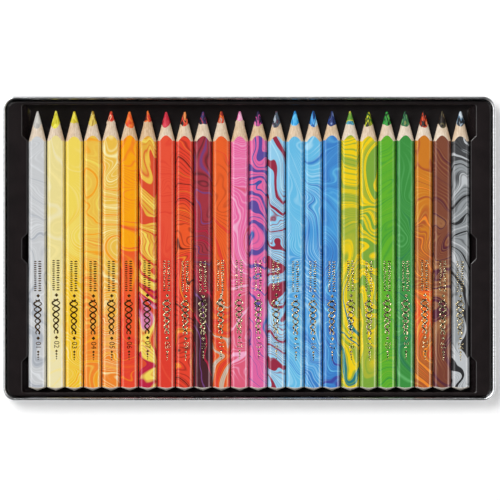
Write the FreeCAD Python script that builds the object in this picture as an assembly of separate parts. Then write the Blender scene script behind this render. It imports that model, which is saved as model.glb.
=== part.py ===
import FreeCAD, Part

import math
import os

# A flat tin of jumbo colored pencils: a drawn tinplate pan with a curled rim, a black formed
# tray that drops into it, and a row of three-sided pencils lying in the tray's grooves.
# Millimetres. The origin is the middle of the tin's underside, +Z is up, the pencils lie side
# by side along X and their points look along +Y.

# Pencils
pencil_count = 24
pencil_length = 175.0
face_width = 8.2         # the three long flats of the barrel
bevel_width = 3.0        # the three short flats across its corners
edge_radius = 0.9        # rounding of the six long edges
point_angle = 31.0       # full angle of the sharpened cone
point_radius = 0.5       # blunt end of the lead
butt_slope = 22.0        # the butt end is turned to a blunt cone, this far off square
lead_diameter = 5.6
pencil_gap = 0.58        # free space between two barrels

# Tray
tray_sheet = 0.6
floor_lift = 1.2         # the skirt holds the pocket's floor this far off the tin's
tip_room = 3.8           # from the points to the pocket's end wall
butt_room = 0.8          # from the butt ends to the pocket's other end wall
land_clearance = 0.7     # from the outer barrels to the pocket's side walls
groove_clearance = 0.25  # from a barrel's lower flats to the ridges beside it
ridge_crest = 2.7        # flat on top of a ridge
ridge_margin = 1.2       # from a ridge's end to the notch beside it
notch_depth = 3.3        # the side walls step back this far at the notches
finger_notch_length = 12.2
end_notch_length = 19.0
notch_round = 1.2        # corners of the pocket, seen from above
notch_foot = 5.2         # the notch walls slope in this far at the floor
tip_foot = 3.6           # the end wall under the points slopes in this far
tip_foot_height = 4.6    # and its slope is this high
pencil_proud = 1.0       # the pencils stand this far above the flange
side_flange = 10.0       # flange beyond the notches
end_flange = 2.9         # flange beyond the ends of the pocket
flange_round = 1.5       # outer edge of the flange
pocket_round = 0.8       # edge of the pocket

# Tin
tin_sheet = 0.3
tin_corner = 8.0         # corners seen from above
tin_bend = 1.8           # bend from the floor into the walls
curl_diameter = 1.8
curl_end = 60.0          # the curl stops this many degrees below level
rim_above_flange = 5.2
tray_clearance = 0.5     # from the tray's edge to the curl and the bend

# Barrel section, measured from the lead's axis
root3 = math.sqrt(3.0)
face_distance = (face_width + 2 * bevel_width) / (2 * root3)
bevel_distance = (2 * face_width + bevel_width) / (2 * root3)
barrel_radius = math.hypot(face_distance, face_width / 2)
barrel_width = face_width + bevel_width - 2 * edge_radius * (2 / root3 - 1)
pitch = barrel_width + pencil_gap
lead_radius = lead_diameter / 2
point_taper = math.tan(math.radians(point_angle / 2))
butt_taper = math.tan(math.radians(butt_slope))

# Heights
tray_base = tin_sheet
tray_floor = tray_base + floor_lift + tray_sheet
pencil_axis = tray_floor + bevel_distance
flange_top = pencil_axis + face_distance - pencil_proud
tin_height = flange_top + rim_above_flange

# Plan of the pocket, the tray and the tin
pocket_half = (pencil_length + tip_room + butt_room) / 2
land_half = (pencil_count - 1) / 2 * pitch + barrel_width / 2 + land_clearance
notch_half = land_half + notch_depth
tray_half_x = notch_half + side_flange
tray_half_y = pocket_half + end_flange
tray_setback = max(curl_diameter, tin_bend) + tray_clearance
tin_half_x = tray_half_x + tray_setback
tin_half_y = tray_half_y + tray_setback
tray_corner = tin_corner - tray_setback
finger_mouth = finger_notch_length / 2 + notch_depth
end_mouth = pocket_half - end_notch_length - notch_depth
butt_y = butt_room - pocket_half
point_y = butt_y + pencil_length

# The two edges of the narrow end flange share its width
flange_fillet = min(flange_round, 0.6 * end_flange, 0.8 * tray_corner)
pocket_fillet = min(pocket_round, 0.3 * end_flange)

origin = FreeCAD.Vector(0, 0, 0)
along = FreeCAD.Vector(0, 1, 0)
up = FreeCAD.Vector(0, 0, 1)


def rounded_wire(points, radius):
    """Closed wire through points of one plane, with every corner rounded by an arc."""
    stops = []
    count = len(points)
    for index in range(count):
        corner = FreeCAD.Vector(*points[index])
        back = (FreeCAD.Vector(*points[index - 1]) - corner).normalize()
        ahead = (FreeCAD.Vector(*points[(index + 1) % count]) - corner).normalize()
        half_angle = back.getAngle(ahead) / 2
        reach = radius / math.tan(half_angle)
        inward = (back + ahead).normalize()
        middle = corner + inward * (radius / math.sin(half_angle) - radius)
        stops.append((corner + back * reach, middle, corner + ahead * reach))
    edges = []
    for index in range(count):
        start, middle, end = stops[index]
        following = stops[(index + 1) % count][0]
        edges.append(Part.Arc(start, middle, end).toShape())
        edges.append(Part.makeLine(end, following))
    return Part.Wire(edges)


def rectangle(half_x, half_y, z):
    return [(half_x, -half_y, z), (half_x, half_y, z), (-half_x, half_y, z), (-half_x, -half_y, z)]


def prism(wire, direction):
    return Part.Face(wire).extrude(direction)


def polygon(points):
    corners = [FreeCAD.Vector(*point) for point in points]
    return Part.makePolygon(corners + corners[:1])


def level_edges(shape, z):
    """Edges of a shape that lie flat at one height."""
    return [edge for edge in shape.Edges
            if abs(edge.BoundBox.ZMin - z) < 1e-4 and abs(edge.BoundBox.ZMax - z) < 1e-4]


def tin_wall_section():
    """Section of the pan's wall: floor bend, wall and inward curl, with its outer face at x = 0."""
    curl = curl_diameter / 2
    curl_inner = curl - tin_sheet
    bend_inner = tin_bend - tin_sheet
    curl_z = tin_height - curl

    def at(inward, z):
        return FreeCAD.Vector(-inward, 0, z)

    def on_arc(centre, centre_z, radius, degrees):
        angle = math.radians(degrees)
        return at(centre + radius * math.cos(angle), centre_z + radius * math.sin(angle))

    curl_top = on_arc(curl, curl_z, curl, 90)
    curl_stop = on_arc(curl, curl_z, curl, -curl_end)
    inner_top = on_arc(curl, curl_z, curl_inner, 90)
    inner_stop = on_arc(curl, curl_z, curl_inner, -curl_end)
    bend_middle = on_arc(tin_bend, tin_bend, tin_bend, 225)
    bend_inner_middle = on_arc(tin_bend, tin_bend, bend_inner, 225)
    edges = [
        Part.Arc(at(tin_bend, 0), bend_middle, at(0, tin_bend)).toShape(),
        Part.makeLine(at(0, tin_bend), at(0, curl_z)),
        Part.Arc(at(0, curl_z), curl_top, curl_stop).toShape(),
        Part.makeLine(curl_stop, inner_stop),
        Part.Arc(inner_stop, inner_top, at(tin_sheet, curl_z)).toShape(),
        Part.makeLine(at(tin_sheet, curl_z), at(tin_sheet, tin_bend)),
        Part.Arc(at(tin_sheet, tin_bend), bend_inner_middle, at(tin_bend, tin_sheet)).toShape(),
        Part.makeLine(at(tin_bend, tin_sheet), at(tin_bend, 0)),
    ]
    return Part.Face(Part.Wire(edges))


def make_tin_base():
    """Pan drawn from one sheet: the wall section runs round the plan, and a plate closes the floor."""
    run_x = tin_half_x - tin_corner
    run_y = tin_half_y - tin_corner
    side = tin_wall_section().translated(FreeCAD.Vector(tin_half_x, -run_y, 0))
    corner = side.translated(along * (2 * run_y))
    end = tin_wall_section()
    end.rotate(origin, up, 90)
    end = end.translated(FreeCAD.Vector(run_x, tin_half_y, 0))
    far_corner = end.translated(FreeCAD.Vector(-2 * run_x, 0, 0))
    half = [
        side.extrude(along * (2 * run_y)),
        corner.revolve(FreeCAD.Vector(run_x, run_y, 0), up, 90),
        end.extrude(FreeCAD.Vector(-2 * run_x, 0, 0)),
        far_corner.revolve(FreeCAD.Vector(-run_x, run_y, 0), up, 90),
    ]
    other_half = [piece.copy() for piece in half]
    for piece in other_half:
        piece.rotate(origin, up, 180)
    floor_outline = rectangle(tin_half_x - tin_bend, tin_half_y - tin_bend, 0)
    floor = prism(rounded_wire(floor_outline, tin_corner - tin_bend), up * tin_sheet)
    return floor.multiFuse(half + other_half).removeSplitter()


def pocket_outline(z):
    """Pocket seen from above: straight lands, stepped back at both ends and at the finger notches."""
    quarter = [
        (notch_half, finger_notch_length / 2),
        (land_half, finger_mouth),
        (land_half, end_mouth),
        (notch_half, end_mouth + notch_depth),
        (notch_half, pocket_half),
    ]
    right = [(x, -y, z) for x, y in reversed(quarter)] + [(x, y, z) for x, y in quarter]
    left = [(-x, y, z) for x, y, z in reversed(right)]
    return right + left


def tray_ridges(inset):
    """Ridges that stand between the pencils and beside the outer ones, in two saddles."""
    room_half = (pitch - bevel_width) / 2
    ridge_height = (room_half - ridge_crest / 2) * root3 - 2 * groove_clearance
    slope_shift = (groove_clearance + inset) * 2 / root3
    low = tray_floor - inset
    high = low + ridge_height
    foot_half = room_half + inset / root3 - slope_shift
    crest_half = foot_half - ridge_height / root3
    near = finger_mouth + ridge_margin + inset
    far = end_mouth - ridge_margin - inset
    ridges = []
    for index in range(pencil_count + 1):
        x = (index - pencil_count / 2) * pitch
        for start in (near, -far):
            section = [
                (x - foot_half, start, low), (x + foot_half, start, low),
                (x + crest_half, start, high), (x - crest_half, start, high),
            ]
            ridges.append(prism(polygon(section), along * (far - near)))
    return ridges


def foot_section(wall, run, rise, inset):
    """Section of a sloping wall foot as distances and heights, reaching one sheet into the wall."""
    lean = run / rise
    shift = inset * math.hypot(1, lean)
    low = tray_floor - inset
    high = tray_floor + rise - shift / lean
    inside = wall + 2 * tray_sheet
    return [(wall - run + shift - inset * lean, low), (inside, low), (inside, high), (wall, high)]


def tray_feet(inset):
    """Sloping feet of the walls in the notches and under the points."""
    notch_rise = flange_top - pocket_fillet - tray_floor
    wall_end = pocket_half + tray_sheet
    notches = [
        (inset - finger_mouth, finger_mouth - inset),
        (end_mouth + inset, wall_end),
        (-wall_end, -end_mouth - inset),
    ]
    feet = []
    for side in (-1, 1):
        for start, end in notches:
            section = [(side * x, start, z) for x, z in foot_section(notch_half, notch_foot, notch_rise, inset)]
            feet.append(prism(polygon(section), along * (end - start)))
    section = [(-notch_half, y, z) for y, z in foot_section(pocket_half, tip_foot, tip_foot_height, inset)]
    feet.append(prism(polygon(section), FreeCAD.Vector(2 * notch_half, 0, 0)))
    return feet


def tray_form(inset):
    """Everything under the tray's upper face, or under its lower face for an inset of one sheet."""
    top = flange_top - inset
    outline = rectangle(tray_half_x - inset, tray_half_y - inset, tray_base)
    form = prism(rounded_wire(outline, tray_corner - inset), up * (top - tray_base))
    if flange_fillet > inset:
        form = form.makeFillet(flange_fillet - inset, level_edges(form, top))
    mouth = rounded_wire(pocket_outline(tray_floor - inset), notch_round)
    if inset:
        mouth = mouth.makeOffset2D(inset)
    form = form.cut(prism(mouth, up * flange_top))
    if pocket_fillet > inset:
        mouth_edges = [edge for edge in level_edges(form, top)
                       if abs(edge.CenterOfMass.x) < notch_half + tray_sheet
                       and abs(edge.CenterOfMass.y) < pocket_half + tray_sheet]
        form = form.makeFillet(pocket_fillet - inset, mouth_edges)
    return form.fuse(tray_feet(inset) + tray_ridges(inset)).removeSplitter()


def make_tray():
    """Formed sheet: the upper form less the lower one leaves one sheet's thickness everywhere."""
    return tray_form(0).cut(tray_form(tray_sheet)).removeSplitter()


def turned(radius):
    """Solid turned about the pencil's axis: blunt butt, straight body of a radius, pointed end."""
    apex_y = point_y + point_radius / point_taper
    profile = [
        (0, butt_y, 0), (radius, butt_y + radius * butt_taper, 0),
        (radius, apex_y - radius / point_taper, 0), (point_radius, point_y, 0), (0, point_y, 0),
    ]
    return Part.Face(polygon(profile)).revolve(origin, along, 360)


def make_barrel():
    """Wooden barrel with one flat upward, both ends turned, and a bore for the lead."""
    corners = []
    for index in range(3):
        turn = math.radians(120 * index)
        for x in (-face_width / 2, face_width / 2):
            corners.append((x * math.cos(turn) + face_distance * math.sin(turn), butt_y,
                            face_distance * math.cos(turn) - x * math.sin(turn)))
    body = prism(rounded_wire(corners, edge_radius), along * pencil_length)
    bore = Part.makeCylinder(lead_radius, pencil_length, FreeCAD.Vector(0, butt_y, 0), along)
    return body.common(turned(barrel_radius)).cut(bore)


def make_lead():
    return turned(lead_radius)


def main():
    nodes = {"tin_base": make_tin_base(), "tray": make_tray()}
    barrel = make_barrel()
    lead = make_lead()
    for index in range(pencil_count):
        place = FreeCAD.Vector((index - (pencil_count - 1) / 2) * pitch, 0, pencil_axis)
        nodes[f"pencil_{index + 1:02d}_barrel"] = barrel.translated(place)
        nodes[f"pencil_{index + 1:02d}_lead"] = lead.translated(place)
    os.makedirs("parts", exist_ok=True)
    for name, shape in nodes.items():
        shape.exportStep(f"parts/{name}.step")
        print(name, "solids", len(shape.Solids), "valid", shape.isValid(), "volume %.1f" % shape.Volume)


main()
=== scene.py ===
import math
import random

import bmesh
import bpy
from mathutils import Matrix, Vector


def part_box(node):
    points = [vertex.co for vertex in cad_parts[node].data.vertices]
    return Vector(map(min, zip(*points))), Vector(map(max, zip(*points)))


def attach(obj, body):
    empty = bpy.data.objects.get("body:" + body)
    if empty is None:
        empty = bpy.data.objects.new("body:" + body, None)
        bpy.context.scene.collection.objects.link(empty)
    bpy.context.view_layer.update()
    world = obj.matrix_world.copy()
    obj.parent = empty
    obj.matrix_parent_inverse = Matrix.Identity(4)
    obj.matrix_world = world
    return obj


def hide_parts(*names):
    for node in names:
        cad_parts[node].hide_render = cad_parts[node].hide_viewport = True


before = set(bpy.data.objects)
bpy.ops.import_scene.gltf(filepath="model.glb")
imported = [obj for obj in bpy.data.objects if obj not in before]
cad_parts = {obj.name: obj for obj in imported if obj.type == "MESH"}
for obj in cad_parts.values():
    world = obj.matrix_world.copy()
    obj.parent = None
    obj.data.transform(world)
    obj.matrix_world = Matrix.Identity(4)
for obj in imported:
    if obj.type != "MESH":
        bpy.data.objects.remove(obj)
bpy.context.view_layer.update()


# Tin base: the open bottom half of a flat tin, drawn from one sheet of bright tinplate.
# The floor bends up into a low wall, and the edge of the wall is curled inwards into a bead.
# The section of the wall runs round the plan as a row of closed rings.
mm = 0.001               # metres
metre = 1000.0           # millimetres
tin_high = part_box("tin_base")[1]
tin_half_x = tin_high.x / mm
tin_half_y = tin_high.y / mm
tin_height = tin_high.z / mm
tin_corner = 8.0
tin_sheet = 0.3
tin_bend = 1.8
curl_radius = 0.9
curl_end = 60.0          # degrees that the curl runs on past its half turn
floor_inset = 20.0       # where the floor's last ring lies, inside the wall
least_corner = 0.05      # radius of a ring's corners where the inset has used up the tin's own
shell_crease = 50.0      # degrees between faces from which an edge looks sharp
corner_steps = 14
bend_steps = 6
curl_steps = 18


def linear(colour):
    """sRGB hex to the linear colour that Blender's sockets take."""
    channels = []
    for start in (1, 3, 5):
        value = int(colour[start:start + 2], 16) / 255
        channels.append(value / 12.92 if value <= 0.04045 else ((value + 0.055) / 1.055) ** 2.4)
    return (*channels, 1.0)


def add_node(tree, kind, inputs=None, **settings):
    """Adds a node with its settings; each input takes a value or a link from another socket."""
    node = tree.nodes.new(kind)
    for name, value in settings.items():
        setattr(node, name, value)
    for key, value in (inputs or {}).items():
        if isinstance(value, bpy.types.NodeSocket):
            tree.links.new(value, node.inputs[key])
        else:
            node.inputs[key].default_value = value
    return node


def new_material(name):
    """An empty node material and its tree."""
    material = bpy.data.materials.new(name)
    material.use_nodes = True
    material.node_tree.nodes.clear()
    return material, material.node_tree


def set_stops(ramp, stops):
    """Fills a colour ramp with (position, sRGB hex) stops."""
    elements = ramp.color_ramp.elements
    while len(elements) > 1:
        elements.remove(elements[-1])
    for index, (position, colour) in enumerate(stops):
        element = elements[0] if index == 0 else elements.new(position)
        element.position = position
        element.color = linear(colour)


def new_object(name, data):
    """A new object in the scene that shows a mesh, a lamp or a camera."""
    shown = bpy.data.objects.new(name, data)
    bpy.context.scene.collection.objects.link(shown)
    return shown


def ring_shell(name, rings, materials, material_of_row, sharp_rows=()):
    """Closed mesh through rings of equal count, with a middle point closing the first and last ring."""
    count = len(rings[0])
    points = [point for ring in rings for point in ring]
    faces = []
    rows = []
    for row in range(len(rings) - 1):
        low = row * count
        high = low + count
        for index in range(count):
            following = (index + 1) % count
            faces.append((low + index, low + following, high + following, high + index))
            rows.append(row)
    for ring, row, turned in ((0, 0, True), (len(rings) - 1, len(rings) - 2, False)):
        middle = sum((Vector(point) for point in rings[ring]), Vector()) / count
        points.append(middle)
        centre = len(points) - 1
        for index in range(count):
            pair = (ring * count + index, ring * count + (index + 1) % count)
            faces.append((centre, pair[1], pair[0]) if turned else (centre, pair[0], pair[1]))
            rows.append(row)
    mesh = bpy.data.meshes.new(name)
    mesh.from_pydata([Vector(point) * mm for point in points], [], faces)
    for material in materials:
        mesh.materials.append(material)
    for polygon, row in zip(mesh.polygons, rows):
        polygon.material_index = material_of_row(row)
    builder = bmesh.new()
    builder.from_mesh(mesh)
    bmesh.ops.recalc_face_normals(builder, faces=builder.faces)
    builder.to_mesh(mesh)
    builder.free()
    mesh.shade_smooth()
    mesh.set_sharp_from_angle(angle=math.radians(shell_crease))
    for edge in mesh.edges:
        first, second = edge.vertices
        if first // count == second // count and first // count in sharp_rows:
            edge.use_edge_sharp = True
    return new_object(name, mesh)


def plan_ring(inset, z):
    """The tin's plan, moved inwards by an inset, as a ring of points at one height."""
    radius = max(tin_corner - inset, least_corner)
    reach_x = tin_half_x - max(tin_corner, inset)
    reach_y = tin_half_y - max(tin_corner, inset)
    ring = []
    for turn, (side_x, side_y) in enumerate(((1, 1), (-1, 1), (-1, -1), (1, -1))):
        for step in range(corner_steps + 1):
            angle = math.radians(90 * (turn + step / corner_steps))
            ring.append((side_x * reach_x + radius * math.cos(angle),
                         side_y * reach_y + radius * math.sin(angle), z))
    return ring


def wall_arc(inset, z, radius, start, end, steps):
    """Arc in the section of the wall as (inset, height) points, from one angle in degrees to another."""
    arc = []
    for step in range(steps + 1):
        angle = math.radians(start + (end - start) * step / steps)
        arc.append((inset + radius * math.cos(angle), z + radius * math.sin(angle)))
    return arc


curl_z = tin_height - curl_radius
wall_section = [
    (floor_inset, 0.0),
    *wall_arc(tin_bend, tin_bend, tin_bend, 270, 180, bend_steps),
    *wall_arc(curl_radius, curl_z, curl_radius, 180, -curl_end, curl_steps),
    *wall_arc(curl_radius, curl_z, curl_radius - tin_sheet, -curl_end, 180, curl_steps),
    *wall_arc(tin_bend, tin_bend, tin_bend - tin_sheet, 180, 270, bend_steps),
    (floor_inset, tin_sheet),
]

# Bright tinplate, rolled and tinned: a clear metal with faint rolling lines and small dull patches.
# The lines are drawn coarser than real ones, so that they show.
rolling_line = 0.6
rolling_run = 40.0
dull_patch = 14.0
tinplate, tree = new_material("bright_tinplate")
place = add_node(tree, "ShaderNodeTexCoord")
spread = add_node(tree, "ShaderNodeMapping", {
    "Vector": place.outputs["Object"],
    "Scale": (metre / rolling_run, metre / rolling_line, metre / rolling_line)})
lines = add_node(tree, "ShaderNodeTexNoise", {"Vector": spread.outputs[0], "Scale": 1.0, "Detail": 3.0})
patches = add_node(tree, "ShaderNodeTexNoise", {
    "Vector": place.outputs["Object"], "Scale": metre / dull_patch, "Detail": 4.0})
sheen = add_node(tree, "ShaderNodeMapRange", {
    "Value": patches.outputs["Fac"], "From Min": 0.3, "From Max": 0.7, "To Min": 0.18, "To Max": 0.25})
tone = add_node(tree, "ShaderNodeValToRGB", {"Fac": lines.outputs["Fac"]})
set_stops(tone, [(0.3, "#CBCED1"), (0.7, "#F0F1F2")])
relief = add_node(tree, "ShaderNodeBump", {
    "Height": lines.outputs["Fac"], "Strength": 0.02, "Distance": 0.05 * mm})
surface = add_node(tree, "ShaderNodeBsdfPrincipled", {
    "Base Color": tone.outputs["Color"], "Metallic": 1.0, "Roughness": sheen.outputs[0],
    "Normal": relief.outputs[0]})
add_node(tree, "ShaderNodeOutputMaterial", {"Surface": surface.outputs[0]})

tin = ring_shell("tin_pan", [plan_ring(inset, z) for inset, z in wall_section], [tinplate], lambda row: 0)
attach(tin, "tin")
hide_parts("tin_base")


# Tray: one sheet of black polystyrene, heated and drawn over a mould, that drops into the tin.
# A flat flange runs round a pocket with finger notches, and grooves in its floor hold the pencils.
# The formed sheet keeps the shape of its CAD node; its edges are smoothed for the light.
weld_distance = 0.001
sheet_crease = 32.0      # degrees between faces from which an edge looks sharp
groove_top = 8.0         # height below which the sheet is the pocket's floor and grooves
edge_shade = 0.8         # width of the band beside the rim of the tin that is painted in deep shade
tray_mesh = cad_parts["tray"].data.copy()
tray_mesh.name = "formed_tray"
builder = bmesh.new()
builder.from_mesh(tray_mesh)
bmesh.ops.remove_doubles(builder, verts=builder.verts, dist=weld_distance * mm)
builder.to_mesh(tray_mesh)
builder.free()
tray_mesh.shade_smooth()
tray_mesh.set_sharp_from_angle(angle=math.radians(sheet_crease))
tray_mesh.materials.clear()

# Black polystyrene: near black, with the soft waviness that a drawn sheet keeps and a grain from the mould.
# It is glossy on the flange and the walls, where the mould is polished; dull and painted a shade darker on
# the pocket's floor and grooves, as painted shade in the recess; and rough, near black and without
# reflection beside the rim of the tin, as a painted deep shadow in the gap. Each finish has two tones, two
# roughnesses and a specular level.
sheet_wave = 9.0
mould_grain = 0.5
polystyrene_finishes = (
    ("glossy_black_polystyrene", "#1B1617", "#221C1D", 0.1, 0.2, 0.5),
    ("dull_black_polystyrene", "#120E0F", "#181314", 0.5, 0.6, 0.2),
    ("matte_black_polystyrene", "#0A0808", "#0E0B0C", 0.8, 0.9, 0.0),
)
glossy, dull_shaded, matte_shaded = range(3)
for name, darker, lighter, smoothest, roughest, specular in polystyrene_finishes:
    polystyrene, tree = new_material(name)
    place = add_node(tree, "ShaderNodeTexCoord")
    waves = add_node(tree, "ShaderNodeTexNoise", {
        "Vector": place.outputs["Object"], "Scale": metre / sheet_wave, "Detail": 2.0})
    grain = add_node(tree, "ShaderNodeTexNoise", {
        "Vector": place.outputs["Object"], "Scale": metre / mould_grain, "Detail": 2.0})
    tone = add_node(tree, "ShaderNodeValToRGB", {"Fac": waves.outputs["Fac"]})
    set_stops(tone, [(0.3, darker), (0.7, lighter)])
    sheen = add_node(tree, "ShaderNodeMapRange", {
        "Value": grain.outputs["Fac"], "To Min": smoothest, "To Max": roughest})
    swell = add_node(tree, "ShaderNodeBump", {
        "Height": waves.outputs["Fac"], "Strength": 0.1, "Distance": 0.4 * mm})
    relief = add_node(tree, "ShaderNodeBump", {
        "Height": grain.outputs["Fac"], "Strength": 0.05, "Distance": 0.05 * mm, "Normal": swell.outputs[0]})
    surface = add_node(tree, "ShaderNodeBsdfPrincipled", {
        "Base Color": tone.outputs["Color"], "IOR": 1.55, "Specular IOR Level": specular,
        "Roughness": sheen.outputs[0], "Normal": relief.outputs[0]})
    add_node(tree, "ShaderNodeOutputMaterial", {"Surface": surface.outputs[0]})
    tray_mesh.materials.append(polystyrene)

tray_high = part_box("tray")[1]
edge_x = tray_high.x - edge_shade * mm
edge_y = tray_high.y - edge_shade * mm
for polygon in tray_mesh.polygons:
    corners = [tray_mesh.vertices[index].co for index in polygon.vertices]
    in_pocket = max(corner.z for corner in corners) < groove_top * mm
    beside_rim = all(abs(corner.x) > edge_x or abs(corner.y) > edge_y for corner in corners)
    # The pocket's floor and grooves take the dull finish with painted shade, and the band beside the rim the
    # painted deep shadow.
    polygon.material_index = matte_shaded if beside_rim else dull_shaded if in_pocket else glossy
tray = new_object("formed_tray", tray_mesh)
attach(tray, "tray")
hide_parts("tray")


# Barrels: jumbo three-sided pencils of basswood with a flat across each corner, lacquered in marbled
# colours. One end is turned to a long point that bares the wood, and the other to a blunt cone.
# Each barrel is a shell of rings along its axis; a blind bore holds the lead.
face_width = 8.2
bevel_width = 3.0
edge_radius = 0.9
point_angle = 31.0       # degrees across the sharpened cone
butt_angle = 22.0        # degrees by which the blunt end slopes
lead_radius = 2.8
point_radius = 0.5
bore_room = 0.03
bore_end = 2.5           # from the butt to the end of the blind bore
bore_mouth = 1.2         # length over which the wood's edge turns in to the bore
sealed_rim = 0.28        # width of the sealed end's rim on the flats
cut_radius = 4.82        # radius of the cone where the lacquer ends, at the middle of a flat
corner_room = 0.05       # how far outside the corners of the section the cone meets them
cut_slip = 0.4           # how far the end of the lacquer may lie from its place
lead_lean = 0.3          # radians by which the bared side of the lead may lean over
side_reach = 0.5         # how much less lead is bared at the sides
lead_waves = ((0.22, 3, 1), (0.14, 5, 2))    # depth, number round the pencil, share of the random start
paint_wave = 0.12
paint_waves_round = 4
highlight_left = (0.4, 0.36, 0.28)    # painted highlight on the left-hand edges at the butt, the middle and the point
highlight_right = (1.0, 0.4, 0.2)     # and on the right-hand edges
butt_rings = ((0.02, 0.0), (0.5, 0.0), (0.97, 0.0), (1.0, 0.5), (1.0, 1.0))    # shares of section and rim
cone_shares = (0.35, 0.7, 1.0)
flat_count = 6
flat_turn = 360 // flat_count
edge_steps = 6
face_steps = 16
bevel_steps = 6
point_taper = math.tan(math.radians(point_angle / 2))
butt_taper = math.tan(math.radians(butt_angle))
face_distance = (face_width + 2 * bevel_width) / (2 * math.sqrt(3))
bevel_distance = (2 * face_width + bevel_width) / (2 * math.sqrt(3))


def barrel_section():
    """Outline of the barrel about its axis: six flats and rounded edges, as (x, z, highlight share) points,
    the share marking where the highlight is painted.
    """
    arcs = []
    for index in range(flat_count):
        first = math.radians(90 - flat_turn * index)
        second = math.radians(90 - flat_turn * (index + 1))
        near = (face_distance if index % 2 == 0 else bevel_distance) - edge_radius
        far = (bevel_distance if index % 2 == 0 else face_distance) - edge_radius
        # The middle of the rounding lies one edge radius inside both flats.
        across = math.sin(first - second)
        middle_x = (near * -math.sin(second) + far * math.sin(first)) / across
        middle_z = (near * math.cos(second) - far * math.cos(first)) / across
        arc = []
        for step in range(edge_steps + 1):
            angle = first + (second - first) * step / edge_steps
            x = middle_x + edge_radius * math.cos(angle)
            z = middle_z + edge_radius * math.sin(angle)
            arc.append((x, z, 1.0))
        arcs.append(arc)
    outline = []
    for index in range(flat_count):
        outline += arcs[index]
        start = arcs[index][-1]
        end = arcs[(index + 1) % flat_count][0]
        steps = bevel_steps if index % 2 == 0 else face_steps
        for step in range(1, steps):
            share = step / steps
            x = start[0] + (end[0] - start[0]) * share
            z = start[1] + (end[1] - start[1]) * share
            outline.append((x, z, 0.0))
    return outline


section = barrel_section()
section_count = len(section)
section_radius = [math.hypot(x, z) for x, z, highlight_share in section]
section_angle = [math.atan2(z, x) for x, z, highlight_share in section]
corner_radius = max(section_radius)


def ring_about(axis, radii, places):
    """Ring about a pencil's axis from a radius and a place along it for each point of the section."""
    return [(axis[0] + radius * math.cos(angle), at, axis[1] + radius * math.sin(angle))
            for angle, radius, at in zip(section_angle, radii, places)]


# Basswood, cut by the sharpener: pale and dry, with fine long grain and a warmer or paler tone per stick.
# The grain is drawn coarser than it is, so that it shows.
grain_width = 0.6
grain_length = 14.0
stick_width = 23.0       # two pencils side by side
stick_length = 50.0
stick_depth = 30.0
mix_a = 6                # the colour sockets of a Mix node, which share their names with its other sockets
mix_b = 7
mix_result = 2
basswood, tree = new_material("cut_basswood")
place = add_node(tree, "ShaderNodeTexCoord")
spread = add_node(tree, "ShaderNodeMapping", {
    "Vector": place.outputs["Object"],
    "Scale": (metre / grain_width, metre / grain_length, metre / grain_width)})
fibres = add_node(tree, "ShaderNodeTexNoise", {
    "Vector": spread.outputs[0], "Scale": 1.0, "Detail": 4.0, "Roughness": 0.6})
stick = add_node(tree, "ShaderNodeMapping", {
    "Vector": place.outputs["Object"],
    "Scale": (metre / stick_width, metre / stick_length, metre / stick_depth)})
stick_tone = add_node(tree, "ShaderNodeTexNoise", {"Vector": stick.outputs[0], "Scale": 1.0, "Detail": 1.0})
pale = add_node(tree, "ShaderNodeValToRGB", {"Fac": fibres.outputs["Fac"]})
set_stops(pale, [(0.3, "#CDB9A0"), (0.5, "#E0CFBA"), (0.72, "#EEE3D4")])
warm = add_node(tree, "ShaderNodeValToRGB", {"Fac": fibres.outputs["Fac"]})
set_stops(warm, [(0.3, "#BC9A72"), (0.5, "#D6B48C"), (0.72, "#E8CFAC")])
choice = add_node(tree, "ShaderNodeMapRange", {
    "Value": stick_tone.outputs["Fac"], "From Min": 0.35, "From Max": 0.65})
tone = add_node(tree, "ShaderNodeMix", {
    "Factor": choice.outputs[0], mix_a: pale.outputs["Color"], mix_b: warm.outputs["Color"]},
    data_type="RGBA")
relief = add_node(tree, "ShaderNodeBump", {
    "Height": fibres.outputs["Fac"], "Strength": 0.25, "Distance": 0.1 * mm})
surface = add_node(tree, "ShaderNodeBsdfPrincipled", {
    "Base Color": tone.outputs[mix_result], "Roughness": 0.62, "Normal": relief.outputs[0]})
add_node(tree, "ShaderNodeOutputMaterial", {"Surface": surface.outputs[0]})

# Sealed end: the turned butt, filled and dipped, so it is pale, greyish and almost without grain.
pore = 0.7
sealed_end, tree = new_material("sealed_butt")
place = add_node(tree, "ShaderNodeTexCoord")
pores = add_node(tree, "ShaderNodeTexNoise", {
    "Vector": place.outputs["Object"], "Scale": metre / pore, "Detail": 3.0})
tone = add_node(tree, "ShaderNodeValToRGB", {"Fac": pores.outputs["Fac"]})
set_stops(tone, [(0.3, "#DAD2C4"), (0.7, "#F2ECE2")])
relief = add_node(tree, "ShaderNodeBump", {
    "Height": pores.outputs["Fac"], "Strength": 0.2, "Distance": 0.1 * mm})
surface = add_node(tree, "ShaderNodeBsdfPrincipled", {
    "Base Color": tone.outputs["Color"], "Roughness": 0.5, "Normal": relief.outputs[0]})
add_node(tree, "ShaderNodeOutputMaterial", {"Surface": surface.outputs[0]})

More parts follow.
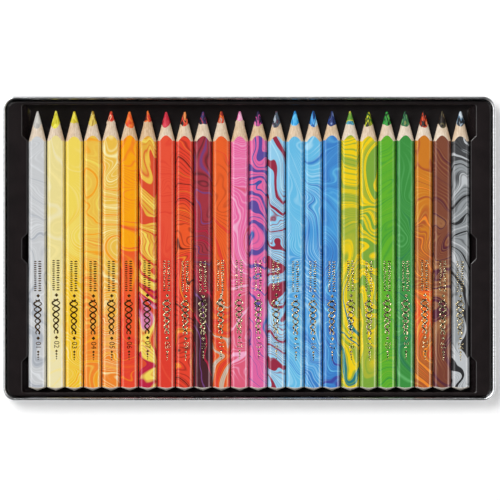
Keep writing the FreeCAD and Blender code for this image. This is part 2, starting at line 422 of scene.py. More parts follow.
# Paints floated on the marbling bath.
paints = {
    "white": "#EEF1F4", "pearl": "#CACCCE", "silver": "#ACB1B9", "cream": "#EEE3B2", "straw": "#EBDC94",
    "lemon": "#F3E39A", "canary": "#F1D75A", "yolk": "#F1C21C", "amber": "#EDBE48", "butter": "#F8EAA4",
    "tangerine": "#F5A01E", "mandarin": "#F0862A", "sun": "#F9A405", "flame": "#EE5826",
    "vermilion": "#E6422C", "scarlet": "#DF3B2B", "coral": "#E95136", "mustard": "#E4AE3A",
    "brick": "#DB4C2C", "crimson": "#BE2040", "orchid": "#D481AA", "soot": "#2A1512", "oxblood": "#7A2016",
    "maroon": "#A2323F", "currant": "#452028", "plum": "#72407C", "pumpkin": "#EC6026", "sand": "#CBB6A0",
    "pink": "#E968A2", "blush": "#F2AACB", "rose": "#DE5C7A", "violet": "#5C4A9C", "royal": "#2B57A6",
    "sky": "#92CDEC", "wine": "#962A42", "azure": "#66BCE6", "mist": "#A9DDF4", "blue": "#479ADA",
    "cobalt": "#3A7FCA", "indigo": "#3C48A2", "olive": "#A9B435", "leaf": "#7CA83A", "teal": "#257A80",
    "gold": "#F2CF12", "grass": "#62B22A", "meadow": "#3A9836", "green": "#3C8F40", "pine": "#2C7A4E",
    "fern": "#62B468", "ochre": "#CD7A22", "rust": "#B0562A", "chestnut": "#763E30", "aubergine": "#542434",
    "tan": "#A8744A", "grey": "#94999C", "cloud": "#BFC3C6", "coal": "#2B2B2D", "charcoal": "#464749",
}

# One row for each pencil: the ground from the butt to the point and how softly its paints meet, then two
# floated paints with their share of the surface at the butt and at the point, and the fine lines with their
# strength.
marbling = (
    ("pearl pearl pearl", 1.0, "silver", 0.45, 0.1, "white", 0.14, 0.12, "white", 0.35),
    ("cream straw straw", 1.0, "cream", 0.3, 0.25, "lemon", 0.2, 0.3, "lemon", 0.6),
    ("yolk yolk canary canary", 1.0, "butter", 0.1, 0.12, "tangerine", 0.16, 0.0, "butter", 0.42),
    ("mandarin mandarin amber amber", 0.8, "canary", 0.02, 0.25, "tangerine", 0.2, 0.2, "canary", 0.5),
    ("mandarin amber amber", 0.8, "butter", 0.1, 0.18, "tangerine", 0.28, 0.25, "butter", 0.6),
    ("vermilion vermilion flame pumpkin sun sun sun", 0.8,
     "sun", 0.1, 0.0, "flame", 0.1, 0.04, "flame", 0.5),
    ("crimson canary orchid crimson amber mustard amber mustard amber mustard", 0.3,
     "brick", 0.15, 0.32, "canary", 0.2, 0.2, "brick", 0.8),
    ("scarlet scarlet coral coral", 0.8, "coral", 0.1, 0.1, "scarlet", 0.2, 0.14, "scarlet", 0.5),
    ("vermilion vermilion flame vermilion", 0.6, "mandarin", 0.18, 0.06, "soot", 0.09, 0.11, "oxblood", 0.6),
    ("currant currant maroon maroon maroon", 0.6, "plum", 0.1, 0.1, "crimson", 0.12, 0.24, "currant", 0.7),
    ("pumpkin pumpkin pumpkin", 0.6, "vermilion", 0.4, 0.06, "sand", 0.42, -0.34, "oxblood", 0.35),
    ("rose rose pink pink pink", 0.8, "blush", 0.3, 0.12, "rose", 0.4, 0.1, "blush", 0.6),
    ("pink pink pink pink", 0.6, "violet", 0.0, 0.5, "royal", 0.08, 0.14, "violet", 0.4),
    ("sky sky sky", 0.4, "wine", 0.2, 0.26, "mist", 0.2, 0.2, "wine", 0.9),
    ("azure blue azure azure", 1.0, "mist", 0.12, 0.16, "blue", 0.2, 0.05, "mist", 0.5),
    ("blue blue blue azure", 0.9, "mist", 0.12, 0.16, "cobalt", 0.42, 0.2, "mist", 0.6),
    ("cobalt cobalt cobalt blue cobalt", 0.7, "azure", 0.14, 0.1, "indigo", 0.22, 0.0, "azure", 0.45),
    ("gold gold olive gold", 0.6, "olive", 0.3, 0.36, "teal", 0.3, -0.12, "leaf", 0.85),
    ("leaf gold gold gold", 0.5, "leaf", 0.3, 0.34, "olive", 0.25, 0.2, "leaf", 0.65),
    ("grass grass grass", 1.0, "meadow", 0.22, 0.14, "olive", 0.1, 0.1, "meadow", 0.6),
    ("green green green", 1.0, "fern", 0.2, 0.08, "pine", 0.3, 0.06, "fern", 0.35),
    ("rust flame rust ochre ochre", 0.6, "mandarin", 0.2, 0.1, "rust", 0.3, 0.1, "amber", 0.35),
    ("chestnut chestnut tan chestnut chestnut chestnut", 0.9,
     "aubergine", 0.5, 0.12, "tan", 0.06, 0.0, "tan", 0.5),
    ("cloud grey grey grey grey grey charcoal", 0.3, "coal", 0.28, 0.08, "cloud", 0.3, 0.16, "coal", 0.6),
)

# Lacquer: a thin clear coat over floated colours. The colours meet in swirls with thin lines hugging them.
# Along the rounded edges the colour is lightened as a painted highlight, most of all on the right-hand edges
# near the butt.
bath_step = (53.0, 71.0, 37.0)     # from one pencil's place in the pattern to the next one's
stirs = ((48.0, 44.0), (23.0, 13.0))    # size of each stir of the bath, and how far it pulls the paint
stir_middle = (0.5, 0.5, 0.5)      # noise colour that pulls nowhere
swirl_size = 21.0
swirl_share = 0.4
comb_pull = (0.018, 0.018, 0.008)  # how far the comb draws the pattern on in a millimetre of each axis
band_count = 5.0
line_count = 34.0
line_edges = (0.55, 0.95)          # where a fine line begins and where it is full
line_patch = 26.0
patch_edges = (0.32, 0.5)          # where a patch of fine lines begins and where it is full
painted_length = 158.0
ground_wander = 0.4
ground_tongue = 0.22
point_loss = 0.02                  # share of the surface that a floated paint loses towards the point
hard_border = 0.05                 # width of the border of a floated paint on a crisp ground
soft_border = 0.35                 # how fast it widens as the ground's paints meet more softly
crisp_ground = 0.5
highlight_power = 0.42                   # power of the colour where the edges carry the painted highlight
orange_peel = 1.4


def marbled_lacquer(name, recipe, butt, seed):
    """Lacquer for one pencil, with the ground running from the butt and the pattern shifted by a seed."""
    ground, softness, *floated, line, strength = recipe
    material, tree = new_material(name)
    place = add_node(tree, "ShaderNodeTexCoord")
    bath = add_node(tree, "ShaderNodeMapping", {
        "Vector": place.outputs["Object"], "Location": [seed * step for step in bath_step],
        "Scale": (metre, metre, metre)})
    flow = bath.outputs[0]
    for size, reach in stirs:
        pull = add_node(tree, "ShaderNodeTexNoise", {"Vector": flow, "Scale": 1 / size, "Detail": 0.0})
        centred = add_node(tree, "ShaderNodeVectorMath", {0: pull.outputs["Color"], 1: stir_middle},
                           operation="SUBTRACT")
        moved = add_node(tree, "ShaderNodeVectorMath", {0: centred.outputs[0], 1: (2 * reach,) * 3, 2: flow},
                         operation="MULTIPLY_ADD")
        flow = moved.outputs[0]
    swirl = add_node(tree, "ShaderNodeTexNoise", {"Vector": flow, "Scale": 1 / swirl_size, "Detail": 0.0})
    drift = add_node(tree, "ShaderNodeVectorMath", {0: flow, 1: comb_pull}, operation="DOT_PRODUCT")
    drawn = add_node(tree, "ShaderNodeMath", {
        0: swirl.outputs["Fac"], 1: swirl_share, 2: drift.outputs["Value"]}, operation="MULTIPLY_ADD")
    fold = add_node(tree, "ShaderNodeMath", {0: drawn.outputs[0], 1: band_count}, operation="MULTIPLY")
    bands = add_node(tree, "ShaderNodeMath", {0: fold.outputs[0], 1: 1.0}, operation="PINGPONG")

    # The ground runs from the butt to the point, and its borders wander with the swirls and bands.
    axes = add_node(tree, "ShaderNodeSeparateXYZ", {0: place.outputs["Object"]})
    along = add_node(tree, "ShaderNodeMapRange", {
        "Value": axes.outputs["Y"], "From Min": butt * mm, "From Max": (butt + painted_length) * mm})
    wander = add_node(tree, "ShaderNodeMapRange", {
        "Value": swirl.outputs["Fac"], "To Min": -ground_wander / 2, "To Max": ground_wander / 2})
    spread = add_node(tree, "ShaderNodeMath", {0: along.outputs[0], 1: wander.outputs[0]}, operation="ADD")
    tongues = add_node(tree, "ShaderNodeMapRange", {
        "Value": bands.outputs[0], "To Min": -ground_tongue / 2, "To Max": ground_tongue / 2})
    reached = add_node(tree, "ShaderNodeMath", {0: spread.outputs[0], 1: tongues.outputs[0]},
                       operation="ADD")
    tone = add_node(tree, "ShaderNodeValToRGB", {"Fac": reached.outputs[0]})
    colours = ground.split()
    width = 1 / len(colours)
    even = width * (1 - softness) / 2
    stops = []
    for index, colour in enumerate(colours):
        middle = width * (index + 0.5)
        for at in (middle - even, middle + even) if even > 0 else (middle,):
            stops.append((at, paints[colour]))
    set_stops(tone, stops)
    shade = tone.outputs["Color"]

    # One floated paint lies in the troughs of the bands and the other on their crests.
    border = hard_border + soft_border * max(0.0, softness - crisp_ground)
    crests = add_node(tree, "ShaderNodeMath", {0: 1.0, 1: bands.outputs[0]}, operation="SUBTRACT")
    for (paint, at_butt, at_point), level in ((floated[:3], bands), (floated[3:], crests)):
        share = add_node(tree, "ShaderNodeMapRange", {
            "Value": along.outputs[0], "To Min": at_butt, "To Max": at_point - point_loss})
        inner = add_node(tree, "ShaderNodeMath", {0: share.outputs[0], 1: border}, operation="SUBTRACT")
        mask = add_node(tree, "ShaderNodeMapRange", {
            "Value": level.outputs[0], "From Min": share.outputs[0], "From Max": inner.outputs[0]},
            interpolation_type="SMOOTHSTEP")
        mixed = add_node(tree, "ShaderNodeMix", {
            "Factor": mask.outputs[0], mix_a: shade, mix_b: linear(paints[paint])}, data_type="RGBA")
        shade = mixed.outputs[mix_result]

    # Fine lines follow the same bands, in patches.
    fine_fold = add_node(tree, "ShaderNodeMath", {0: drawn.outputs[0], 1: line_count}, operation="MULTIPLY")
    saw = add_node(tree, "ShaderNodeMath", {0: fine_fold.outputs[0], 1: 1.0}, operation="PINGPONG")
    thin = add_node(tree, "ShaderNodeMapRange", {
        "Value": saw.outputs[0], "From Min": line_edges[0], "From Max": line_edges[1], "To Max": strength})
    patch = add_node(tree, "ShaderNodeTexNoise", {
        "Vector": bath.outputs[0], "Scale": 1 / line_patch, "Detail": 1.0})
    shown = add_node(tree, "ShaderNodeMapRange", {
        "Value": patch.outputs["Fac"], "From Min": patch_edges[0], "From Max": patch_edges[1]})
    amount = add_node(tree, "ShaderNodeMath", {0: thin.outputs[0], 1: shown.outputs[0]},
                      operation="MULTIPLY")
    lined = add_node(tree, "ShaderNodeMix", {
        "Factor": amount.outputs[0], mix_a: shade, mix_b: linear(paints[line])}, data_type="RGBA")

    # The painted highlight along the edges, and the clear coat over all of it.
    edge = add_node(tree, "ShaderNodeAttribute", attribute_name="worn_edge")
    lightened = add_node(tree, "ShaderNodeGamma", {"Color": lined.outputs[mix_result], "Gamma": highlight_power})
    highlighted_edges = add_node(tree, "ShaderNodeMix", {
        "Factor": edge.outputs["Fac"], mix_a: lined.outputs[mix_result], mix_b: lightened.outputs[0]},
        data_type="RGBA")
    peel = add_node(tree, "ShaderNodeTexNoise", {
        "Vector": place.outputs["Object"], "Scale": metre / orange_peel, "Detail": 1.0})
    relief = add_node(tree, "ShaderNodeBump", {
        "Height": peel.outputs["Fac"], "Strength": 0.03, "Distance": 0.1 * mm})
    surface = add_node(tree, "ShaderNodeBsdfPrincipled", {
        "Base Color": highlighted_edges.outputs[mix_result], "Roughness": 0.5, "Specular IOR Level": 0.05,
        "Coat Weight": 0.5, "Coat Roughness": 0.2, "Normal": relief.outputs[0]})
    add_node(tree, "ShaderNodeOutputMaterial", {"Surface": surface.outputs[0]})
    return material


# Length of lead bared by the sharpener on the upper side, in millimetres from the tip of the cone.
bared_leads = (12.7, 12.8, 9.5, 11.2, 8.3, 12.8, 8.7, 12.2, 11.4, 10.2, 9.4, 7.9,
               11.4, 12.2, 11.0, 11.8, 11.4, 10.6, 11.8, 11.0, 11.8, 12.5, 12.5, 11.4)
draw = random.Random(24)
pencils = []
for number, (bared, recipe) in enumerate(zip(bared_leads, marbling), 1):
    name = f"pencil_{number:02d}"
    lead_low, lead_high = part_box(f"{name}_lead")
    axis = ((lead_low.x + lead_high.x) / 2 / mm, (lead_low.z + lead_high.z) / 2 / mm)
    butt = lead_low.y / mm
    apex = lead_high.y / mm + point_radius / point_taper
    side_bared = min(bared, lead_radius / point_taper)
    lean = draw.uniform(-lead_lean, lead_lean)
    ripple = draw.uniform(0, 2 * math.pi)
    slip = draw.uniform(-cut_slip, cut_slip)
    lead_line = []
    paint_line = []
    for angle, outer in zip(section_angle, section_radius):
        bow = max(0.0, math.sin(angle - lean)) ** 2
        wave = sum(depth * math.sin(count * angle + start * ripple) for depth, count, start in lead_waves)
        lead_line.append(apex - side_bared + side_reach - (bared - side_bared + side_reach) * bow + wave)
        rise = (outer - face_distance) / (corner_radius - face_distance)
        cone_radius = cut_radius + (corner_radius + corner_room - cut_radius) * rise
        wave = paint_wave * math.sin(paint_waves_round * angle + ripple)
        paint_line.append(apex - cone_radius / point_taper + slip + wave)
    rings = []
    for section_share, rim_share in butt_rings:
        radii = [section_share * radius for radius in section_radius]
        places = [butt + radius * butt_taper + rim_share * sealed_rim for radius in radii]
        rings.append(ring_about(axis, radii, places))
    rim_row = len(rings) - 1
    rings.append(ring_about(axis, section_radius, [0.0] * section_count))
    rings.append(ring_about(axis, section_radius, paint_line))
    paint_row = len(rings) - 1
    for share in cone_shares:
        radii = [outer + ((apex - line) * point_taper - outer) * share
                 for outer, line in zip(section_radius, lead_line)]
        places = [paint + (line - paint) * share for paint, line in zip(paint_line, lead_line)]
        rings.append(ring_about(axis, radii, places))
    bore_row = len(rings) - 1
    bore = [lead_radius + bore_room] * section_count
    rings.append(ring_about(axis, bore, [line - bore_mouth for line in lead_line]))
    rings.append(ring_about(axis, bore, [butt + bore_end] * section_count))
    lacquer = marbled_lacquer(f"marbled_lacquer_{number:02d}", recipe, butt, number)
    barrel = ring_shell(
        f"{name}_marbled_barrel", rings, [lacquer, basswood, sealed_end],
        lambda row: 2 if row < rim_row else 0 if row < paint_row else 1, (paint_row, bore_row))
    # Painted highlight along the rounded edges, given at the butt, the middle and the point.
    worn_edge = barrel.data.attributes.new("worn_edge", "FLOAT", "POINT")
    for row, left, right in zip((rim_row, rim_row + 1, paint_row), highlight_left, highlight_right):
        for index, (x, z, highlight_share) in enumerate(section):
            worn_edge.data[row * section_count + index].value = highlight_share * (left if x < 0 else right)
    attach(barrel, name)
    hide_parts(f"{name}_barrel")
    pencils.append((name, number, axis, butt, apex, lead_line))


# Leads: thick wax cores, pressed from several colours at once so that streaks run along them.
# Each is a rod in its barrel's bore, sharpened with the wood to a slightly blunt point.
lead_end = 3.0           # from the butt to the end of the rod
blunt_tip = (0.55, 0.8)  # least and greatest radius of the blunted tip
tip_shares = (0.0, 0.3, 0.65, 1.0)
shoulder_row = 2         # ring where the sharpened cone begins
dome_steps = 5
# Wax colours of each lead. In the dark leads the palest colours are partly pale wax and partly painted
# glints.
lead_colours = (
    "#BEBCB6 #CECCC6 #B2B0AA",
    "#E0D424 #F0E854 #D0C41A",
    "#E0CC18 #ECDD4C #CDB60E",
    "#8C6A14 #DDBE4A #E2C860 #B08A1E #F2E6A8",
    "#8E1A14 #F8B890 #E23A24 #B01C16 #F0602E",
    "#F05A1E #F47A2A #E2481A",
    "#5A120E #F0701E #E2402A #861612 #F6CDA6",
    "#C92038 #D83A4C #A8182C",
    "#140806 #E23A22 #F0603A #2A0C0A #F0904A",
    "#14102C #B02C40 #3A2A66 #1A1230 #8A3A6A",
    "#9C261A #F0741E #D8401E #B8A494 #E2582A",
    "#EE7EB4 #F6B4D2 #E45C9C",
    "#E878B0 #3A1A5A #150C26 #C84A96 #241440",
    "#B6C4D0 #5A1A2C #4A5A6A #1A161E #A8B4C0",
    "#26A0E6 #64C8F6 #1A86D0",
    "#10346E #2A86D2 #5CB4EA #1C5CA8 #A8DEF8",
    "#8CA4DC #1E3474 #141E4C #2E4C98 #0A1028",
    "#1A5490 #5CB0C0 #2C8A98 #D8CC3A #5E9834",
    "#E8DC2A #3E7216 #10160A #C8CC1E #1A240C",
    "#0C3014 #2C9A3A #34A03E #0A2A10 #60C452",
    "#7E8E4C #1F5F48 #2A7A48 #0A2220 #5EA060",
    "#F0A87C #E8501E #180C08 #D8421E #120806",
    "#7E6E4E #2A1E16 #120E0A #5E563A #1C1410",
    "#B0C4D4 #1E2832 #08090C #5E7C96 #D0DCE4",
)

# Pressed wax and pigment: soft low gloss, the colours lying in narrow streaks with ragged ends.
streak_width = 2.4
streak_length = 8.0
streak_core = (0.2, 0.8)           # share of a streak over which its colour is even
press_step = (7.0, 11.0, 5.0)      # streaks from one lead's place in the pattern to the next one's
shaving_mark = 0.35


def pressed_wax(name, colours, seed):
    """Wax for one lead, with the streaks shifted by a seed."""
    material, tree = new_material(name)
    place = add_node(tree, "ShaderNodeTexCoord")
    pressed = add_node(tree, "ShaderNodeMapping", {
        "Vector": place.outputs["Object"], "Location": [seed * step for step in press_step],
        "Scale": (metre / streak_width, metre / streak_length, metre / streak_width)})
    streaks = add_node(tree, "ShaderNodeTexNoise", {
        "Vector": pressed.outputs[0], "Scale": 1.0, "Detail": 0.5, "Distortion": 0.3})
    opened = add_node(tree, "ShaderNodeMapRange", {
        "Value": streaks.outputs["Fac"], "From Min": 0.28, "From Max": 0.72})
    ground = add_node(tree, "ShaderNodeValToRGB", {"Fac": opened.outputs[0]})
    width = 1 / len(colours)
    stops = []
    for index, colour in enumerate(colours):
        stops += [(width * (index + at), colour) for at in streak_core]
    set_stops(ground, stops)
    marks = add_node(tree, "ShaderNodeTexNoise", {
        "Vector": place.outputs["Object"], "Scale": metre / shaving_mark, "Detail": 2.0})
    relief = add_node(tree, "ShaderNodeBump", {
        "Height": marks.outputs["Fac"], "Strength": 0.35, "Distance": 0.1 * mm})
    surface = add_node(tree, "ShaderNodeBsdfPrincipled", {
        "Base Color": ground.outputs["Color"], "Roughness": 0.45, "Specular IOR Level": 0.3,
        "Normal": relief.outputs[0]})
    add_node(tree, "ShaderNodeOutputMaterial", {"Surface": surface.outputs[0]})
    return material


half_angle = math.atan(point_taper)
for (name, number, axis, butt, apex, lead_line), colours in zip(pencils, lead_colours):
    blunt = draw.uniform(*blunt_tip)
    cone_end = apex - blunt / point_taper
    dome = blunt / math.cos(half_angle)
    dome_y = cone_end - dome * math.sin(half_angle)
    rod = [lead_radius] * section_count
    rings = [ring_about(axis, rod, [butt + lead_end] * section_count),
             ring_about(axis, rod, [line - bore_mouth for line in lead_line])]
    for share in tip_shares:
        radii = [(apex - line) * (1 - share) * point_taper + blunt * share for line in lead_line]
        rings.append(ring_about(axis, radii, [line + (cone_end - line) * share for line in lead_line]))
    for step in range(1, dome_steps):
        angle = half_angle + (math.pi / 2 - half_angle) * step / dome_steps
        rings.append(ring_about(axis, [dome * math.cos(angle)] * section_count,
                                [dome_y + dome * math.sin(angle)] * section_count))
    wax = pressed_wax(f"pressed_wax_{number:02d}", colours.split(), number)
    lead = ring_shell(f"{name}_wax_lead", rings, [wax], lambda row: 0, (shoulder_row,))
    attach(lead, name)
    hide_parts(f"{name}_lead")


# Foil imprint: a hot-stamped ornament of thin foil, pressed into the lacquer on each pencil's upper flat.
# Two rows of beads, a lozenge, a braid of two waves, another lozenge, the pencil's plain number and a tail
# of small lozenges follow each other. Geometry Nodes lay them out in a line and turn it towards the butt.
imprint_start = -7.5
foil_depth = 0.05
middle_line = 0.3        # where the lozenges and the number lie across the flat
row_start = 0.5
bead_rows = (            # count and spacing of the beads, greatest width and height, place across the flat
    (13, 1.52, 0.95, 2.4, 1.3),
    (15, 1.3, 0.8, 2.0, -1.5),
)
bead_least = (0.8, 0.7)  # smallest share of the greatest width and height
bead_sides = 8
bead_seed = 7
lozenge_sides = 4
lozenges = (             # place along the line and radius
    (22.0, 1.2), (48.5, 1.2), (57.0, 0.9), (58.8, 0.756), (60.4, 0.612), (61.8, 0.468),
)
braid_run = (24.5, 46.0)
braid_wave = 7.2
braid_height = (2.5, 1.1)
braid_strokes = ((1.0, 1), (0.62, -1))    # width of each wave, and the side to which it sets out
braid_points = 90
number_place = 50.6
number_size = 4.6

imprint = bpy.data.node_groups.new("foil_imprint", "GeometryNodeTree")
imprint.interface.new_socket("Geometry", in_out="OUTPUT", socket_type="NodeSocketGeometry")
number_socket = imprint.interface.new_socket("Number", in_out="INPUT", socket_type="NodeSocketString")
place_socket = imprint.interface.new_socket("Start on Flat", in_out="INPUT", socket_type="NodeSocketVector")
foil_socket = imprint.interface.new_socket("Foil", in_out="INPUT", socket_type="NodeSocketMaterial")
given = add_node(imprint, "NodeGroupInput")
parts = []
for count, pitch, width, height, level in bead_rows:
    row_line = add_node(imprint, "GeometryNodeMeshLine", {
        "Count": count, "Start Location": (row_start * mm, level * mm, 0), "Offset": (pitch * mm, 0, 0)})
    # The bead is one millimetre across, so its scale is its width and height in millimetres.
    bead = add_node(imprint, "GeometryNodeMeshCylinder", {
        "Vertices": bead_sides, "Radius": mm / 2, "Depth": foil_depth * mm})
    size = add_node(imprint, "FunctionNodeRandomValue", {
        0: (bead_least[0] * width, bead_least[1] * height, 1), 1: (width, height, 1), "Seed": bead_seed},
        data_type="FLOAT_VECTOR")
    row = add_node(imprint, "GeometryNodeInstanceOnPoints", {
        "Points": row_line.outputs[0], "Instance": bead.outputs[0], "Scale": size.outputs[0]})
    parts.append(row.outputs[0])
for at, radius in lozenges:
    lozenge = add_node(imprint, "GeometryNodeMeshCylinder", {
        "Vertices": lozenge_sides, "Radius": radius * mm, "Depth": foil_depth * mm})
    moved = add_node(imprint, "GeometryNodeTransform", {
        "Geometry": lozenge.outputs[0], "Translation": (at * mm, middle_line * mm, 0)})
    parts.append(moved.outputs[0])
for stroke, side in braid_strokes:
    line = add_node(imprint, "GeometryNodeCurvePrimitiveLine", {
        "Start": (braid_run[0] * mm, 0, 0), "End": (braid_run[1] * mm, 0, 0)})
    fine = add_node(imprint, "GeometryNodeResampleCurve", {"Curve": line.outputs[0], "Count": braid_points})
    where = add_node(imprint, "GeometryNodeInputPosition")
    where_x = add_node(imprint, "ShaderNodeSeparateXYZ", {0: where.outputs[0]})
    turn = add_node(imprint, "ShaderNodeMath", {0: where_x.outputs["X"], 1: 2 * math.pi / (braid_wave * mm)},
                    operation="MULTIPLY")
    wave = add_node(imprint, "ShaderNodeMath", {0: turn.outputs[0]}, operation="SINE")
    swing = add_node(imprint, "ShaderNodeMapRange", {
        "Value": where_x.outputs["X"], "From Min": braid_run[0] * mm, "From Max": braid_run[1] * mm,
        "To Min": side * braid_height[0] * mm, "To Max": side * braid_height[1] * mm})
    lift = add_node(imprint, "ShaderNodeMath", {0: wave.outputs[0], 1: swing.outputs[0]},
                    operation="MULTIPLY")
    offset = add_node(imprint, "ShaderNodeCombineXYZ", {"Y": lift.outputs[0]})
    waved = add_node(imprint, "GeometryNodeSetPosition", {
        "Geometry": fine.outputs[0], "Offset": offset.outputs[0]})
    level = add_node(imprint, "GeometryNodeSetCurveNormal", {"Curve": waved.outputs[0]}, mode="Z_UP")
    ribbon = add_node(imprint, "GeometryNodeCurvePrimitiveQuadrilateral", {
        "Width": stroke * mm, "Height": foil_depth * mm})
    strip = add_node(imprint, "GeometryNodeCurveToMesh", {
        "Curve": level.outputs[0], "Profile Curve": ribbon.outputs[0], "Fill Caps": True})
    parts.append(strip.outputs[0])
digits = add_node(imprint, "GeometryNodeStringToCurves", {
    "String": given.outputs["Number"], "Size": number_size * mm}, align_y="MIDDLE")
digit_curves = add_node(imprint, "GeometryNodeRealizeInstances", {"Geometry": digits.outputs[0]})
digit_faces = add_node(imprint, "GeometryNodeFillCurve", {"Curve": digit_curves.outputs[0]})
raised = add_node(imprint, "GeometryNodeExtrudeMesh", {
    "Mesh": digit_faces.outputs[0], "Offset Scale": foil_depth * mm, "Individual": False})
backs = add_node(imprint, "GeometryNodeFlipFaces", {"Mesh": digit_faces.outputs[0]})
closed = add_node(imprint, "GeometryNodeJoinGeometry")
imprint.links.new(raised.outputs["Mesh"], closed.inputs[0])
imprint.links.new(backs.outputs[0], closed.inputs[0])
welded = add_node(imprint, "GeometryNodeMergeByDistance", {
    "Geometry": closed.outputs[0], "Distance": weld_distance * mm})
digits_placed = add_node(imprint, "GeometryNodeTransform", {
    "Geometry": welded.outputs[0],
    "Translation": (number_place * mm, middle_line * mm, -foil_depth / 2 * mm)})
parts.append(digits_placed.outputs[0])
joined = add_node(imprint, "GeometryNodeJoinGeometry")
for part in parts:
    imprint.links.new(part, joined.inputs[0])
turned = add_node(imprint, "GeometryNodeTransform", {
    "Geometry": joined.outputs[0], "Translation": given.outputs["Start on Flat"],
    "Rotation": (0, 0, -math.pi / 2)})
real = add_node(imprint, "GeometryNodeRealizeInstances", {"Geometry": turned.outputs[0]})
finished = add_node(imprint, "GeometryNodeSetMaterial", {
    "Geometry": real.outputs[0], "Material": given.outputs["Foil"]})
add_node(imprint, "NodeGroupOutput", {0: finished.outputs[0]})

# Stamping foil: a thin bright metal, crumpled by the stamp so that it glints in specks, with painted shade
# in its creases and painted glints on its specks.
# One foil is drawn twice: a copy darkened with painted shade on the pale pencils, and a copy lightened with
# painted glints on the deeper colours.
foil_speck = 0.7
pale_pencils = 7
stamp_shift = 0.5        # how far a stamp may land from its place


def stamped_foil(name, shade, glint, roughness):
    """Foil of one metal, from a painted shade in its creases to a painted glint on its specks."""
    material, tree = new_material(name)
    place = add_node(tree, "ShaderNodeTexCoord")
    specks = add_node(tree, "ShaderNodeTexNoise", {
        "Vector": place.outputs["Object"], "Scale": metre / foil_speck, "Detail": 2.0})
    tone = add_node(tree, "ShaderNodeValToRGB", {"Fac": specks.outputs["Fac"]})
    set_stops(tone, [(0.46, shade), (0.6, glint)])
    relief = add_node(tree, "ShaderNodeBump", {
        "Height": specks.outputs["Fac"], "Strength": 0.9, "Distance": 0.3 * mm})
    surface = add_node(tree, "ShaderNodeBsdfPrincipled", {
        "Base Color": tone.outputs["Color"], "Metallic": 1.0, "Roughness": roughness,
        "Normal": relief.outputs[0]})
    add_node(tree, "ShaderNodeOutputMaterial", {"Surface": surface.outputs[0]})
    return material


shaded_foil = stamped_foil("stamped_shaded_foil", "#1C1206", "#66491E", 0.4)
lit_foil = stamped_foil("stamped_lit_foil", "#1E1206", "#FFEDBE", 0.24)
for name, number, axis in (pencil[:3] for pencil in pencils):
    across = draw.uniform(-stamp_shift, stamp_shift)
    along = draw.uniform(-stamp_shift, stamp_shift)
    blank = bpy.data.meshes.new(f"{name}_blank")
    stamp = new_object(f"{name}_stamp", blank)
    layout = stamp.modifiers.new("imprint", "NODES")
    layout.node_group = imprint
    layout[number_socket.identifier] = f"{number:02d}"
    layout[place_socket.identifier] = ((axis[0] + across) * mm, (imprint_start + along) * mm,
                                       (axis[1] + face_distance) * mm)
    layout[foil_socket.identifier] = shaded_foil if number <= pale_pencils else lit_foil
    shape = bpy.data.meshes.new_from_object(stamp.evaluated_get(bpy.context.evaluated_depsgraph_get()))
    shape.name = f"{name}_foil"
    bpy.data.objects.remove(stamp)
    stamped = new_object(f"{name}_foil", shape)
    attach(stamped, name)


# Studio: a white floor, pale surroundings that darken overhead, and soft light from both sides.
# The lamp towards the upper left is the one that throws the shadow to the lower right.
floor_half = 30.0        # metres
floor_drop = 0.1         # millimetres below the tin
floor_mesh = bpy.data.meshes.new("studio_floor")
floor_corners = [(side_x * floor_half, side_y * floor_half, 0)
                 for side_x, side_y in ((-1, -1), (1, -1), (1, 1), (-1, 1))]
floor_mesh.from_pydata(floor_corners, [], [(0, 1, 2, 3)])
floor = new_object("studio_floor", floor_mesh)
floor.location.z = -floor_drop * mm

# White paper with faint fibres. Seen by the camera, in a mirror image or through glass it is lifted to plain
# white, and the light that it throws back on the object stays that of paper.
paper_fibre = 2.0
paper_lift = 0.2
paper, tree = new_material("white_paper")
place = add_node(tree, "ShaderNodeTexCoord")
fibre = add_node(tree, "ShaderNodeTexNoise", {
    "Vector": place.outputs["Object"], "Scale": metre / paper_fibre, "Detail": 2.0})
tone = add_node(tree, "ShaderNodeValToRGB", {"Fac": fibre.outputs["Fac"]})
set_stops(tone, [(0.3, "#F0F0F0"), (0.7, "#F4F4F4")])
sheet = add_node(tree, "ShaderNodeBsdfDiffuse", {"Color": tone.outputs["Color"]})
lift = add_node(tree, "ShaderNodeEmission", {"Color": (1, 1, 1, 1), "Strength": paper_lift})
both = add_node(tree, "ShaderNodeAddShader", {0: sheet.outputs[0], 1: lift.outputs[0]})
path = add_node(tree, "ShaderNodeLightPath")
seen = add_node(tree, "ShaderNodeMath", {
    0: path.outputs["Is Camera Ray"], 1: path.outputs["Is Glossy Ray"]}, operation="MAXIMUM")
mirrored = add_node(tree, "ShaderNodeMath", {
    0: seen.outputs[0], 1: path.outputs["Is Transmission Ray"]}, operation="MAXIMUM")
paper_mix = add_node(tree, "ShaderNodeMixShader", {
    0: mirrored.outputs[0], 1: sheet.outputs[0], 2: both.outputs[0]})
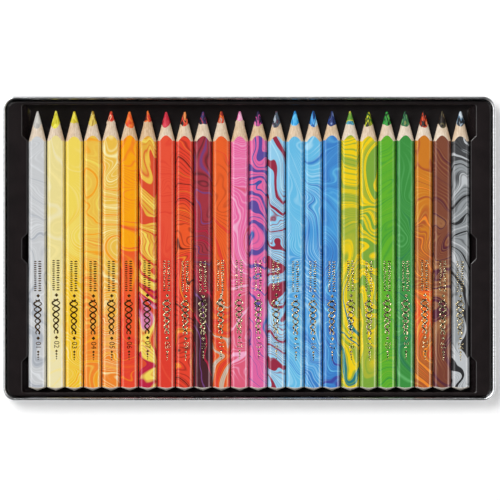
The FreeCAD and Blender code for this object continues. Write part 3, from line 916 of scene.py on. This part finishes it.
add_node(tree, "ShaderNodeOutputMaterial", {"Surface": paper_mix.outputs[0]})
floor_mesh.materials.append(paper)

# The walls of the studio: bright to the left and right, dimmer at the ends, dark overhead.
wall_levels = (1.0, 0.1, 0.05)
world = bpy.data.worlds.new("studio")
bpy.context.scene.world = world
world.use_nodes = True
tree = world.node_tree
tree.nodes.clear()
place = add_node(tree, "ShaderNodeTexCoord")
squares = add_node(tree, "ShaderNodeVectorMath", {
    0: place.outputs["Generated"], 1: place.outputs["Generated"]}, operation="MULTIPLY")
level = add_node(tree, "ShaderNodeVectorMath", {0: squares.outputs[0], 1: wall_levels},
                 operation="DOT_PRODUCT")
walls = add_node(tree, "ShaderNodeBackground", {"Color": (1, 1, 1, 1), "Strength": level.outputs["Value"]})
add_node(tree, "ShaderNodeOutputWorld", {"Surface": walls.outputs[0]})

# Lamps, each with the direction it stands in, its power and the angle that it fills in degrees.
lamps = (
    ("left_box", (-0.85, 0.1, 0.52), 1.2, 80),
    ("right_box", (0.88, 0.0, 0.47), 0.4, 80),
    ("upper_left_box", (-0.3, 0.36, 0.88), 1.56, 26),
)
lamp_distance = 2
for lamp_name, towards, power, softness in lamps:
    light = bpy.data.lights.new(lamp_name, "SUN")
    light.energy = power
    light.angle = math.radians(softness)
    lamp = new_object(lamp_name, light)
    lamp.rotation_euler = Vector(towards).to_track_quat("Z", "Y").to_euler()
    lamp.location = Vector(towards) * lamp_distance

# Camera: straight down from far above, with a long lens, as the photograph was taken.
# It stands so high that the picture has its width at about the height of the pencils' upper flats.
image_width = 312.5
flats_height = 12.0
lens = 500.0
sensor = 36.0
far_clip = 200.0
picture_middle = (0.625, -0.94)    # millimetres from the middle of the tin
camera_data = bpy.data.cameras.new("overhead")
camera_data.lens = lens
camera_data.sensor_width = sensor
camera_data.clip_end = far_clip
camera = new_object("overhead", camera_data)
camera_height = flats_height + image_width * lens / sensor
camera.location = (picture_middle[0] * mm, picture_middle[1] * mm, camera_height * mm)
bpy.context.scene.camera = camera
bpy.context.scene.view_settings.view_transform = "Standard"
